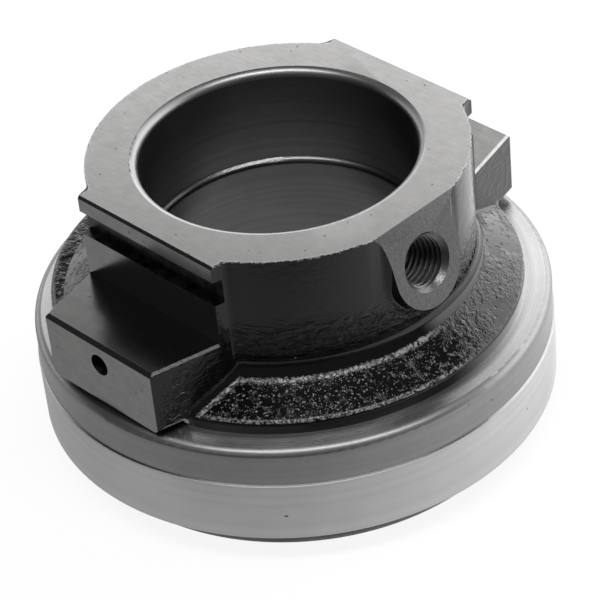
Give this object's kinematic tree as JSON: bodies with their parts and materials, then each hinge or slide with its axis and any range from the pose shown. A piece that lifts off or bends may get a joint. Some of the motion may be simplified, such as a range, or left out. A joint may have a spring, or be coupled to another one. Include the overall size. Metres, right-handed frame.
{
  "type": "clutch release bearing",
  "caption": "Clutch release bearing: a cast sliding sleeve with fork lugs and a threaded port on a closed ball bearing.",
  "frame": {"origin": "centre of the turning ring's thrust face, on the bearing axis", "axes": "+Z along the bearing axis from the thrust face to the sleeve's open end, Y through the two fork lugs, +X towards the threaded port"},
  "size_m": [0.115, 0.115, 0.067],
  "materials": {
    "casting": "black paint on the cast skin, bare metal on machined faces",
    "ring_steel": "turned and ground",
    "thrust_steel": "ground, dark",
    "ball_steel": "polished",
    "cage_plastic": "moulded",
    "seal_rubber": "matte",
    "spring_steel": "blued"
  },
  "bodies": {
    "sleeve": {"sliding_sleeve": "casting", "outer_ring": "ring_steel", "outer_seal": "seal_rubber", "inner_seal": "seal_rubber", "disc_spring": "spring_steel", "retaining_ring": "spring_steel"},
    "turning_ring": {"thrust_ring": "thrust_steel"},
    "cage_and_balls": {"cage": "cage_plastic", "ball_01": "ball_steel", "ball_02": "ball_steel", "ball_03": "ball_steel", "ball_04": "ball_steel", "ball_05": "ball_steel", "ball_06": "ball_steel", "ball_07": "ball_steel", "ball_08": "ball_steel", "ball_09": "ball_steel", "ball_10": "ball_steel", "ball_11": "ball_steel", "ball_12": "ball_steel", "ball_13": "ball_steel", "ball_14": "ball_steel", "ball_15": "ball_steel", "ball_16": "ball_steel", "ball_17": "ball_steel", "ball_18": "ball_steel"}
  },
  "joints": [
    {"name": "ring_spin", "type": "hinge", "parent": "sleeve", "child": "turning_ring", "pos_m": [0, 0, 0], "axis": [0, 0, 1], "continuous": true},
    {"name": "cage_spin", "type": "hinge", "parent": "sleeve", "child": "cage_and_balls", "pos_m": [0, 0, 0.0145], "axis": [0, 0, 1], "continuous": true}
  ],
  "couplings": [
    {"joint": "cage_spin", "follows": "ring_spin", "ratio": 0.4517}
  ]
}
